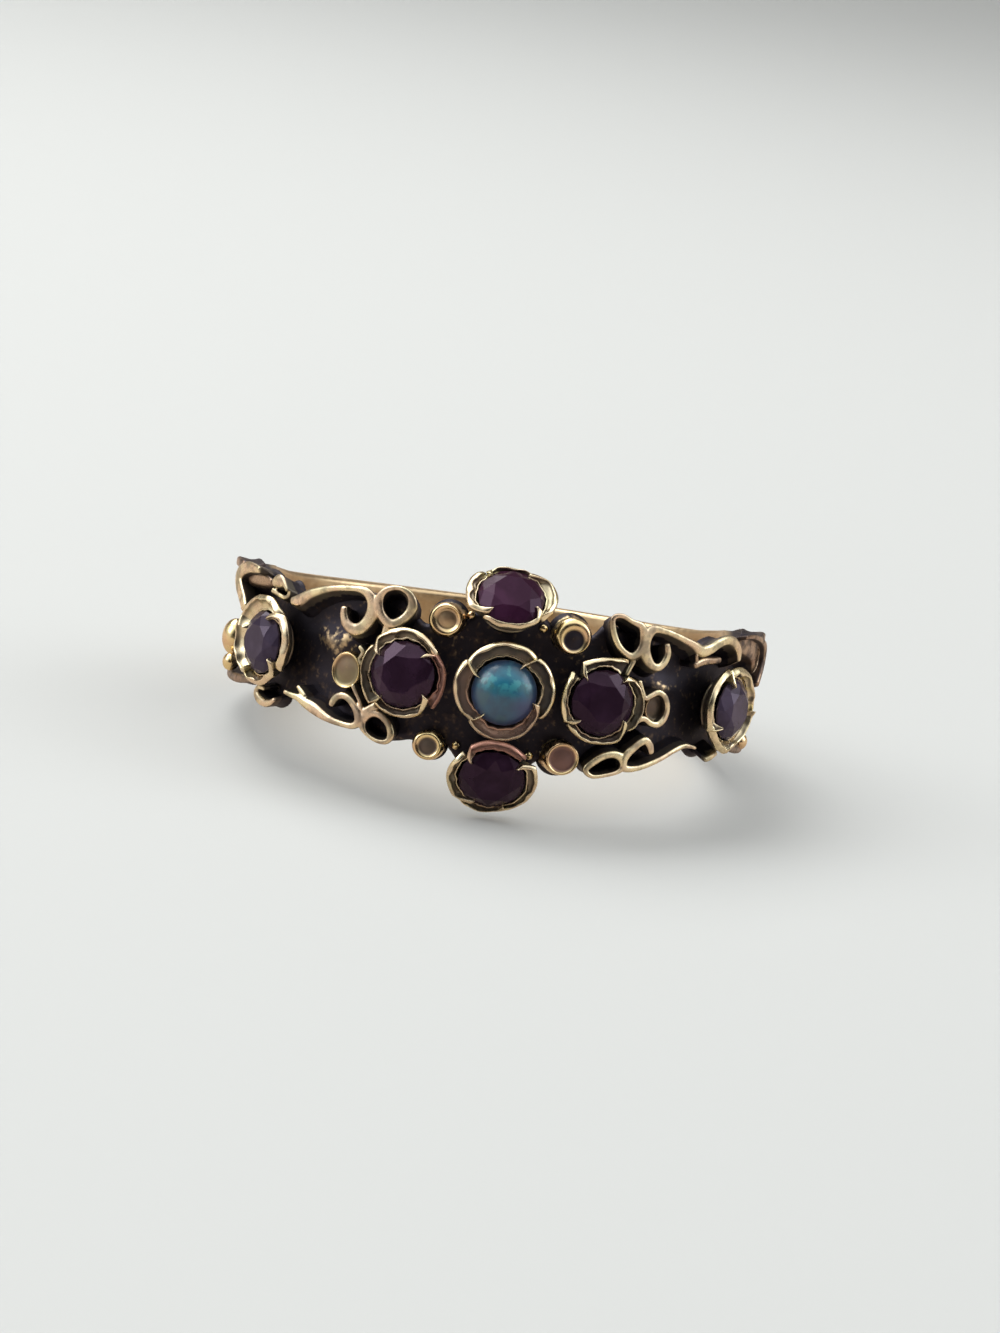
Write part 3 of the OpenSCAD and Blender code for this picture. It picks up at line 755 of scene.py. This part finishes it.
def ballShape(angle, height, radius, stretch, reach, aside, up, face, dark, rose):
    # a ball with a sunken face, or a plain one where the face is 0; gives the shape and the face's
    # painted reflection, as a dark share and a rosy share
    seat = seatMatrix(angle, height, reach, 0)
    sunk = reach - balls["ground"]
    low = math.acos(min(balls["highest"], sunk / radius))
    spread, depth = balls["skirt"]
    fillet, sides, last = balls["fillet"], balls["sides"], balls["rowsBelow"] - 1
    # radius and height as shares of the ball's radius, from the ground to the middle of the face
    profile = [(math.sin(low) + spread, -sunk / radius - depth), (math.sin(low) + fillet, -sunk / radius)]
    for i in range(last + 1):
        a = mix(low + fillet, math.pi / 2, i / last)
        profile.append((math.sin(a), -math.cos(a)))
    if face:
        rim = mix(face, 1, 0.5)
        profile += [
            (0.995, 0.1), (0.98, 0.2), (mix(rim, 1, 0.75), 0.33), (mix(rim, 1, 0.45), 0.43),
            (mix(rim, 1, 0.2), 0.49), (rim, 0.51), (mix(face, rim, 0.7), 0.51), (mix(face, rim, 0.4), 0.49),
            (face, 0.44), (face - 0.05, 0.4), (face - 0.1, 0.38), (0.75 * face, 0.38), (0.5 * face, 0.41),
            (0.25 * face, 0.43), (0.03, 0.435),
        ]
    else:
        for k in range(1, balls["rowsAbove"]):
            a = math.pi / 2 * k / balls["rowsAbove"]
            profile.append((math.cos(a), balls["flattening"] * math.sin(a)))
        profile.append((0.03, balls["flattening"]))
    rings, painted, paintedRosiness = [], [], []
    for share, h in profile:
        moved = 1 - smoothStep(share, face, 1) if h > 0 else 0
        paintedDarkShare = 1 - smoothStep(share, face - 0.04, face + 0.05) if h > 0 else 0
        ring = []
        for j in range(sides):
            turn = 2 * math.pi * j / sides
            x = share * math.cos(turn) + aside * moved
            y = stretch * share * math.sin(turn) + up * moved
            ring.append(seat @ (Vector((x, y, h)) * radius))
        rings.append(ring)
        # painted reflection: the face darker and rosier than its rim, for the dark room and warm
        # surroundings it mirrors
        painted += [dark * paintedDarkShare] * sides
        paintedRosiness += [rose * paintedDarkShare] * sides
    return loft(rings), painted + [1, dark], paintedRosiness + [0, rose]


shapes, painted, paintedRosiness = zip(*(ballShape(*row) for row in balls["places"]))
addPiece("balls", joined(shapes), goldMaterial("ballGold", balls["finish"]),
         sum(painted, []), sum(paintedRosiness, []))
print("balls made")


# Collets: flared cups of four petals, whose ends bend in over the stone

collets = {
    "foot": 0.95,  # depth of the foot below the girdle
    "tuck": 11,  # degrees by which a petal starts under the bent end before it
    "tuckShare": 0.16, "tuckDrop": 0.12,  # it lies lower there, over this share of its length
    "sections": 30,
    "unevenness": 0.035, "heightWaves": 0.05, "widthWaves": 0.5, "slopeWaves": 0.06,
    "bendSections": 9,  # those that make the bent end
    "clawHalf": 0.125,  # half the width of a bent end
    "clawRim": 0.1, "clawRise": 0.16,
    "clawHold": 0.25,  # a petal that bends in by this much rises over the stone
    "clawPatina": 0.2,
    "coneSides": 48,
    # the closed foot, from the bottom up: share of the stone's radius, height, patina
    "cone": [
        (0.6, -1.15, 1), (0.64, -0.95, 1), (0.68, -0.84, 1), (0.81, -0.79, 0.7), (0.84, -0.74, 0.5),
        (0.81, -0.7, 0.6), (0.7, -0.62, 1), (0.8, -0.5, 1), (0.92, -0.35, 1), (0.84, -0.42, 1),
    ],
    # seat as angle, height, reach, lean; radius of the stone; rise of the rim over the girdle; petals
    # as first and last angle; radius at the start, middle and end; where the end bends to as angle and
    # radius; half the rim's width; radius of the slope's inner edge at the middle; how dark the slope is
    # painted, patina together with painted reflection and shade; and its painted rosy reflection
    "settings": {
        "opal": ((0, 0, 10.1, 0), 1.1, 0.16, [
            (-20, 50, 1.66, 1.78, 1.66, 62, 1.04, 0.065, 1.3, 0.92, 0),
            (60, 150, 1.62, 1.69, 1.6, 159, 1.1, 0.08, 1.16, 0.82, 0.2),
            (157, 232, 1.68, 1.72, 1.5, 238, 1.1, 0.065, 1.2, 0.6, 0.75),
            (238, 334, 1.58, 1.73, 1.46, 346, 1.25, 0.055, 1.32, 0.12, 0.85),
        ]),
        "top": ((-1, 3.15, 9.55, 43), 1.15, 0.08, [
            (-22, 38, 1.36, 1.6, 1.57, 60, 1.1, 0.075, 1.2, 0.5, 0),
            (64, 128, 1.3, 1.32, 1.36, 138, 1.2, 0.06, 1.17, 0.5, 0),
            (146, 204, 1.56, 1.58, 1.54, 232, 1.04, 0.1, 1.2, 0.5, 0),
            (236, 320, 1.3, 1.3, 1.34, 336, 1.1, 0.06, 1.17, 0.6, 0.5),
        ]),
        "bottom": ((0.5, -3.15, 9.55, -28), 1.15, 0.08, [
            (-64, 28, 1.38, 1.52, 1.58, 42, 1.18, 0.07, 1.25, 0.75, 0),
            (54, 126, 1.5, 1.57, 1.58, 140, 1.18, 0.045, 1.2, 0.45, 1),
            (152, 216, 1.45, 1.55, 1.52, 242, 1.07, 0.07, 1.22, 0.75, 0),
            (238, 290, 1.5, 1.43, 1.37, 300, 1.22, 0.06, 1.2, 0.6, 0.4),
        ]),
        "left": ((-20, 0, 10.1, 0), 1.15, 0.12, [
            (-30, 36, 1.6, 1.57, 1.48, 48, 1.05, 0.045, 1.28, 0.42, 1),
            (46, 134, 1.43, 1.6, 1.56, 149, 1.18, 0.07, 1.2, 0.75, 0),
            (157, 228, 1.55, 1.53, 1.58, 236, 1.18, 0.05, 1.22, 0.8, 0.2),
            (238, 302, 1.44, 1.48, 1.52, 328, 1.2, 0.055, 1.2, 0.8, 0.4),
        ]),
        "right": ((20, 0, 10.1, 0), 1.15, 0.12, [
            (-28, 38, 1.5, 1.6, 1.45, 54, 1.16, 0.055, 1.25, 0.85, 0),
            (72, 126, 1.76, 1.57, 1.64, 136, 1.2, 0.06, 1.25, 0.95, 0),
            (152, 210, 1.6, 1.55, 1.55, 220, 1.18, 0.06, 1.26, 0.8, 0.2),
            (226, 304, 1.5, 1.46, 1.5, 328, 1.1, 0.055, 1.22, 0.85, 0.5),
        ]),
        "leftShoulder": ((-57, 0, 10, 0), 1.1, 0.15, [
            (-22, 42, 1.6, 1.74, 1.72, 62, 1.13, 0.14, 1.15, 0.85, 0),
            (56, 150, 1.55, 1.68, 1.7, 162, 1.35, 0.1, 1.14, 0.12, 0),
            (160, 232, 1.7, 1.72, 1.55, 244, 1.2, 0.1, 1.14, 0.12, 0),
            (236, 316, 1.5, 1.52, 1.52, 332, 1.13, 0.1, 1.15, 0.15, 0.1),
        ]),
        "rightShoulder": ((57, 0, 10, 0), 1.1, 0.15, [
            (0, 112, 1.68, 1.58, 1.5, 120, 1.1, 0.12, 1.15, 0.15, 0.1),
            (118, 204, 1.5, 1.86, 1.82, 212, 1.25, 0.085, 1.3, 0.8, 0.1),
            (206, 262, 1.74, 1.6, 1.6, 266, 1.45, 0.11, 1.15, 0.2, 0.1),
            (268, 350, 1.58, 1.48, 1.64, 358, 1.4, 0.11, 1.15, 0.15, 0.1),
        ]),
    },
    "finish": {
        **scrolls["finish"],
        # a lighter gold than the scrolls' gold: painted light on the rims, which catch the light from above
        "Gold": (1.0, 0.92, 0.6, 1), "Warm Gold": (0.9, 0.74, 0.52, 1),
        "Dark Below": 7, "Crevice Patina": 0.15, "Side Patina": 0.0, "Tarnish": 0.15,
        "Gold Roughness": 0.21, "bumpStrength": 0.1, "bumpDistance": 0.01,
    },
}


def petalShape(seat, stoneRadius, rise, petal, number):
    # gives the shape, the darkness (patina with painted shade and painted reflection) and the painted
    # rosiness
    place = seatMatrix(*seat)
    first, last, rStart, rMiddle, rEnd, clawAngle, clawRadius, bead, innerMiddle, dark, rose = petal
    first -= collets["tuck"]
    foot, count, bend = collets["foot"], collets["sections"], collets["bendSections"]
    slopeStart = 11  # the section's points before this one are the outside and the rim
    rings, painted, paintedRosiness = [], [], []
    for i in range(count + bend + 1):
        t = min(1.0, i / count)
        bent = smoothStep((i - count) / bend)
        angle = math.radians(mix(mix(first, last, t), clawAngle, bent))
        rim = (1 - t) * (1 - 2 * t) * rStart + 4 * t * (1 - t) * rMiddle + t * (2 * t - 1) * rEnd
        wander = Vector((seat[0] + 3 * number, 2.2 * angle, 0))
        waves = [noise.noise(wander * scale) for scale in (1.0, 1.4, 2.1, 2.7)]
        rim = mix(rim + collets["unevenness"] * waves[0], clawRadius + collets["clawRim"], bent)
        held = smoothStep((rEnd - clawRadius) / collets["clawHold"])
        tucked = 1 - smoothStep(t, 0.0, collets["tuckShare"])
        top = rise + collets["clawRise"] * bent * held + collets["heightWaves"] * waves[1]
        top -= collets["tuckDrop"] * tucked
        b = mix(bead * (1 + collets["widthWaves"] * waves[2]), collets["clawHalf"], bent)
        innerFree = mix(stoneRadius + 0.02, innerMiddle, math.sin(math.pi * t))
        innerFree += collets["slopeWaves"] * waves[3]
        inner = min(max(stoneRadius - 0.02, innerFree), rim - 2 * b - 0.03)
        slopeTop = top - 0.09
        slopeLow = mix(-0.12, top - 0.1, bent)
        slope = mix(dark, collets["clawPatina"], bent)
        # across the petal, from the foot's outside over the slanting rim to its inside: place and darkness;
        # the foot's darkness is patina, the dark lines just inside the rim and under the inner edge are
        # painted shade, and the slope's is patina together with painted reflection
        section = [
            (0.62 * stoneRadius, -foot, 1), (0.8 * stoneRadius, -0.62, 1),
            (mix(0.88 * stoneRadius, rim, 0.6), -0.34, 0.9), (rim - 0.03, top - 0.22, 0.6),
            (rim - 0.003, top - 0.15, 0.1), (rim - 0.05 * b, top - 0.115, 0),
            (rim - 0.5 * b, top - 0.07, 0), (rim - 1.1 * b, top - 0.025, 0),
            (rim - 1.5 * b, top - 0.004, 0), (rim - 1.8 * b, top - 0.008, 0),
            (rim - 2 * b, top - 0.04, 0.4), (rim - 2.1 * b, slopeTop, max(slope, 0.6)),
            (mix(rim - 2.1 * b, inner, 0.35), mix(slopeTop, slopeLow, 0.45), slope),
            (mix(rim - 2.1 * b, inner, 0.75), mix(slopeTop, slopeLow, 0.88), slope),
            (inner + 0.06, slopeLow + 0.02, 0.3 * slope), (inner + 0.03, slopeLow + 0.045, 0),
            (inner - 0.005, slopeLow + 0.035, 0), (inner - 0.03, slopeLow - 0.03, 0.8),
            (mix(inner, 0.7 * stoneRadius, 0.5), -0.5, 1), (0.45 * stoneRadius, -foot, 1),
        ]
        ring = [Vector((r * math.cos(angle), r * math.sin(angle), h)) for r, h, covered in section]
        # the first section, the end face tucked under the bent end before it, is painted dark as shade
        painted += [1 if i == 0 else covered for r, h, covered in section]
        # painted rosy reflection, full on the slope, faint on the rim and outside, none on the bent end
        paintedRosiness += [(rose if k >= slopeStart else rose ** 4) * (1 - bent) for k in range(len(section))]
        ends = min(1.0, 0.8 + 0.2 * min(i, count + bend - i))  # end faces drawn in a little
        centre = sum(ring, Vector((0, 0, 0))) / len(ring)
        rings.append([place @ (centre + (p - centre) * ends) for p in ring])
    return loft(rings), painted + [1, 0.0], paintedRosiness + [0, 0]


def coneShape(seat, stoneRadius):
    # the cup's closed foot under the petals, with a step in it; gives the shape and patina
    sides = collets["coneSides"]
    profile = [(share * stoneRadius, h) for share, h, covered in collets["cone"]]
    painted = [covered for share, h, covered in collets["cone"] for _ in range(sides)]
    return loft(turnedRings(seatMatrix(*seat), profile, sides)), painted + [1, 1]


colletGold = goldMaterial("colletGold", collets["finish"])
for name, (seat, stoneRadius, rise, petals) in collets["settings"].items():
    cone, painted = coneShape(seat, stoneRadius)
    # the foot gets a faint painted rosy reflection
    shapes, paintedRosiness = [cone], [0.3] * len(painted)
    for number, petal in enumerate(petals):
        shape, covered, tint = petalShape(seat, stoneRadius, rise, petal, number)
        shapes.append(shape)
        painted += covered
        paintedRosiness += tint
    addPiece("collet_" + name, joined(shapes), colletGold, painted, paintedRosiness)
print("collets made")


# Red stones: the cut solids of the frame, as dark glassy stones

redStone = {
    "surface": {"Roughness": 0.1, "IOR": 1.55, "Transmission Weight": 0.2},
    "cloudNoise": (900, 3), "clouds": (0.4, 0.75),
    # colour, colour of its clouds, strength and colour of its glints
    "looks": {
        "darkRedStone": ((0.024, 0.010, 0.022, 1), (0.042, 0.019, 0.040, 1), 0.16, (0.8, 0.55, 0.8, 1)),
        # the same stone as the dark one with a stronger specular: a painted glint where this stone caught
        # more light
        "glintingRedStone": ((0.024, 0.010, 0.022, 1), (0.042, 0.019, 0.040, 1), 0.36, (0.8, 0.55, 0.8, 1)),
        "purpleRedStone": ((0.032, 0.008, 0.024, 1), (0.060, 0.018, 0.048, 1), 0.13, (0.8, 0.55, 0.8, 1)),
        # lighter and greyer: a painted reflection of the white surroundings seen at a grazing angle on the
        # shoulder stones
        "mauveStone": ((0.046, 0.034, 0.06, 1), (0.085, 0.064, 0.11, 1), 0.25, (0.85, 0.7, 0.95, 1)),
    },
    "stones": {
        "stone_top": "purpleRedStone", "stone_bottom": "darkRedStone",
        "stone_left": "glintingRedStone", "stone_right": "darkRedStone",
        "stone_left_shoulder": "mauveStone", "stone_right_shoulder": "mauveStone",
    },
}


def stoneMaterial(name, color, paleColor, specular, glint):
    material, tree, shader = newMaterial(name)
    place = tree.nodes.new("ShaderNodeTexCoord").outputs["Object"]
    clouds = mapRange(tree, noiseNode(tree, place, *redStone["cloudNoise"]), *redStone["clouds"])
    feed(tree, shader, {"Base Color": mixColor(tree, clouds, color, paleColor),
                        "Specular IOR Level": specular, "Specular Tint": glint, **redStone["surface"]})
    return material


stoneMaterials = {name: stoneMaterial(name, *look) for name, look in redStone["looks"].items()}
for nodeName, look in redStone["stones"].items():
    cadStone = frame["nodes"][nodeName]
    cadStone.data.materials.clear()
    cadStone.data.materials.append(stoneMaterials[look])
print("red stones finished")


# Opal: a domed cabochon with soft flashes of blue and green

opal = {
    "radius": 1.12,
    "dome": 0.68,
    "base": 0.24,
    "seat": (0.2, -0.07, 10.1, 0),
    "sides": 64, "rows": 24,
    "deepBlue": (0.018, 0.06, 0.12, 1),
    "turquoise": (0.016, 0.17, 0.27, 1),
    "green": (0.045, 0.15, 0.14, 1),
    "pale": (0.05, 0.30, 0.36, 1),
    # the duller lower half is painted shade
    "slate": (0.055, 0.095, 0.14, 1),  # the duller lower half
    "violet": (0.05, 0.05, 0.15, 1),  # low on the right
    # the darker rim round the dome's edge is painted shade
    "navy": (0.02, 0.03, 0.075, 1),  # round the edge
    "flowNoise": (900, 3), "flow": (0.38, 0.62),  # from deep blue to turquoise
    "patchScale": 1900, "patchSmoothness": 0.6,
    "greenPatches": (0.45, 0.9, 0.0, 0.8),
    "fineNoise": (2600, 4), "flashes": (0.5, 0.62),
    "splitLow": 1.6, "splitHigh": 2.5,  # heights where the lower half ends and the upper begins
    "splitWaves": 0.6,
    "slateShare": 0.7,
    "violetStart": 0.1, "violetFull": 0.9, "violetShare": 0.7,
    "navyStart": 1.02, "navyFull": 1.25, "navyShare": 0.85, "navyWaves": 0.3,
    "surface": {
        "Roughness": 0.3, "IOR": 1.45, "Coat Weight": 0.35, "Coat Roughness": 0.1,
        "Subsurface Weight": 0.25, "Subsurface Radius": (0.2, 0.5, 0.7), "Subsurface Scale": 0.4 * mm,
    },
}


def opalShape():
    radius, dome, base, rows = opal["radius"], opal["dome"], opal["base"], opal["rows"]
    sphere = (radius * radius + dome * dome) / (2 * dome)
    spread = math.asin(radius / sphere)
    profile = [(0.02, -base), (0.9 * radius, -base), (radius, -base + 0.08)]  # a flat base with a bevel
    for k in range(rows + 1):
        a = spread * (1 - k / rows)
        profile.append((max(0.02, sphere * math.sin(a)), dome - sphere + sphere * math.cos(a)))
    return loft(turnedRings(seatMatrix(*opal["seat"]), profile, opal["sides"]))


def opalMaterial():
    material, tree, shader = newMaterial("opalStone")
    place = tree.nodes.new("ShaderNodeTexCoord").outputs["Object"]
    flow = noiseNode(tree, place, *opal["flowNoise"])
    fine = noiseNode(tree, place, *opal["fineNoise"])
    patches = tree.nodes.new("ShaderNodeTexVoronoi")
    patches.feature = "SMOOTH_F1"
    feed(tree, patches, {"Vector": place, "Scale": opal["patchScale"],
                         "Smoothness": opal["patchSmoothness"]})
    tint = tree.nodes.new("ShaderNodeSeparateColor")
    feed(tree, tint, {0: patches.outputs["Color"]})
    flowing = mapRange(tree, flow, *opal["flow"])
    base = mixColor(tree, flowing, opal["deepBlue"], opal["turquoise"])
    greenShare = mapRange(tree, tint.outputs[0], *opal["greenPatches"])
    withGreen = mixColor(tree, greenShare, base, opal["green"])
    across, _, height = separated(tree, place)
    # the flashes are kept to the upper half as painted light, and the lower half gets the slate as painted
    # shade
    waves = mathNode(tree, "MULTIPLY", flow, opal["splitWaves"] * mm)
    waving = mathNode(tree, "ADD", height, waves)
    upper = mapRange(tree, waving, opal["splitLow"] * mm, opal["splitHigh"] * mm)
    flash = mathNode(tree, "MULTIPLY", upper, mapRange(tree, fine, *opal["flashes"]))
    flashing = mixColor(tree, flash, withGreen, opal["pale"])
    bright = mathNode(tree, "MULTIPLY", upper, opal["slateShare"])
    paintedDarkShare = mathNode(tree, "SUBTRACT", opal["slateShare"], bright)
    lowerShaded = mixColor(tree, paintedDarkShare, flashing, opal["slate"])
    aside = mapRange(tree, across, opal["violetStart"] * mm, opal["violetFull"] * mm,
                     0.0, opal["violetShare"])
    low = mathNode(tree, "SUBTRACT", 1.0, upper)
    lowAside = mathNode(tree, "MULTIPLY", aside, low)
    shaded = mixColor(tree, lowAside, lowerShaded, opal["violet"])
    # painted shade round the edge
    centre = lying @ (seatMatrix(*opal["seat"]).translation * mm)
    offCentre = vectorMath(tree, "DISTANCE", place, centre)["Value"]
    edgeWaves = mathNode(tree, "MULTIPLY", flow, opal["navyWaves"] * mm)
    uneven = mathNode(tree, "ADD", offCentre, edgeWaves)
    edge = mapRange(tree, uneven, opal["navyStart"] * mm, opal["navyFull"] * mm,
                    0.0, opal["navyShare"])
    feed(tree, shader, {"Base Color": mixColor(tree, edge, shaded, opal["navy"]), **opal["surface"]})
    return material


opalPiece = addPiece("opalCabochon", opalShape(), opalMaterial())
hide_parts("opal")
print("opal made")


# Camera, at the photograph's angle to the ring

view = {
    "yaw": 3.54, "pitch": 8.46, "roll": 8.53,  # degrees from straight in front of the opal
    "distance": 130.0, "right": 0.21, "up": 6.81,  # the ring's centre as the camera sees it
    "lens": 53.1, "sensor": 36,
    "zoom": 1.8,  # closer than the photograph, which shows much of the background
    "aim": (0.0, -6.0, 0.4),
    "nearest": 0.005, "farthest": 10,  # metres
}


def placeCamera():
    yaw = Matrix.Rotation(math.radians(view["yaw"]), 3, "Z")
    pitch = Matrix.Rotation(math.radians(view["pitch"]), 3, "X")
    roll = Matrix.Rotation(math.radians(view["roll"]), 3, "Y")
    fromCamera = (roll @ pitch @ yaw).transposed()
    tilt = lying.to_3x3()
    place = tilt @ fromCamera @ -Vector((view["right"], view["distance"], view["up"]))
    upwards = tilt @ fromCamera @ Vector((0, 0, 1))
    ahead = (tilt @ Vector(view["aim"]) - place).normalized()
    right = ahead.cross(upwards).normalized()
    upwards = right.cross(ahead)
    data = bpy.data.cameras.new("camera")
    data.lens = view["lens"] * view["zoom"]
    data.sensor_width = view["sensor"]
    data.clip_start = view["nearest"]
    data.clip_end = view["farthest"]
    camera = newObject("camera", data)
    turn = Matrix((right, upwards, -ahead)).transposed().to_4x4()
    camera.matrix_world = Matrix.Translation(place * mm) @ turn
    bpy.context.scene.camera = camera


placeCamera()
print("camera placed")


# Floor and light; lengths are metres here

studio = {
    "floorColor": (0.545, 0.565, 0.57, 1),
    "floorInGold": (0.46, 0.38, 0.32, 1),  # what polished metal reflects of the floor
    "floorRoughness": 0.7,
    "floorHalf": 2.0,  # half its width
    "floorStart": -1.2, "floorEnd": 0.6,
    "bend": 0.4, "bendRows": 12,  # radius where the floor turns up into the wall
    "wall": 1.6,
    "worldTop": (1.25, 1.24, 1.20, 1),
    "worldSide": (0.52, 0.51, 0.49, 1),
    "worldFront": (0.03, 0.026, 0.028, 1),  # the dark side of the room, behind the viewer
    "skyline": (-0.05, 0.55),
    "front": (0, -0.99, 0.1), "frontEdge": (0.45, 0.8),
    "worldStrength": 1.0,
    # name, place, size, watts, colour; each lamp is aimed at the ring
    "lamps": [
        ("topLight", (-0.12, 0.16, 0.28), (0.30, 0.24), 0.8, (1.0, 0.98, 0.94)),
        ("leftLight", (-0.30, -0.04, 0.18), (0.14, 0.20), 0.3, (1.0, 0.99, 0.97)),
        ("rightLight", (0.30, 0.0, 0.16), (0.14, 0.20), 0.2, (0.97, 0.98, 1.0)),
    ],
}


def buildFloor():
    material, tree, shader = newMaterial("floorPaper")
    inGold = tree.nodes.new("ShaderNodeLightPath").outputs["Is Glossy Ray"]
    feed(tree, shader, {"Base Color": mixColor(tree, inGold, studio["floorColor"], studio["floorInGold"]),
                        "Roughness": studio["floorRoughness"]})
    level = cadBox[0].z
    end, bend, half = studio["floorEnd"], studio["bend"], studio["floorHalf"]
    profile = [(studio["floorStart"], level), (end, level)]
    for k in range(1, studio["bendRows"] + 1):
        a = math.pi / 2 * k / studio["bendRows"]
        profile.append((end + bend * math.sin(a), level + bend * (1 - math.cos(a))))
    profile.append((end + bend, level + studio["wall"]))
    points = [(x, y, z) for y, z in profile for x in (-half, half)]
    faces = [(2 * i, 2 * i + 1, 2 * i + 3, 2 * i + 2) for i in range(len(profile) - 1)]
    mesh = bpy.data.meshes.new("floor")
    mesh.from_pydata(points, [], faces)
    mesh.polygons.foreach_set("use_smooth", [True] * len(mesh.polygons))
    mesh.materials.append(material)
    floor = newObject("floor", mesh)


def buildLights():
    for name, place, size, watts, color in studio["lamps"]:
        data = bpy.data.lights.new(name, "AREA")
        data.shape = "RECTANGLE"
        data.size, data.size_y = size
        data.energy = watts
        data.color = color
        lamp = newObject(name, data)
        lamp.location = place
        lamp.rotation_euler = (-Vector(place)).to_track_quat("-Z", "Y").to_euler()

    world = bpy.data.worlds.new("studioWorld")
    bpy.context.scene.world = world
    world.use_nodes = True
    tree = world.node_tree
    direction = tree.nodes.new("ShaderNodeTexCoord").outputs["Generated"]
    _, _, upwards = separated(tree, direction)
    high = mapRange(tree, upwards, *studio["skyline"])
    around = mixColor(tree, high, studio["worldSide"], studio["worldTop"])
    forwards = vectorMath(tree, "DOT_PRODUCT", direction, studio["front"])["Value"]
    dark = mapRange(tree, forwards, *studio["frontEdge"])
    feed(tree, tree.nodes["Background"], {"Color": mixColor(tree, dark, around, studio["worldFront"]),
                                          "Strength": studio["worldStrength"]})


buildFloor()
buildLights()
bpy.context.scene.view_settings.view_transform = "Standard"
print("studio built")
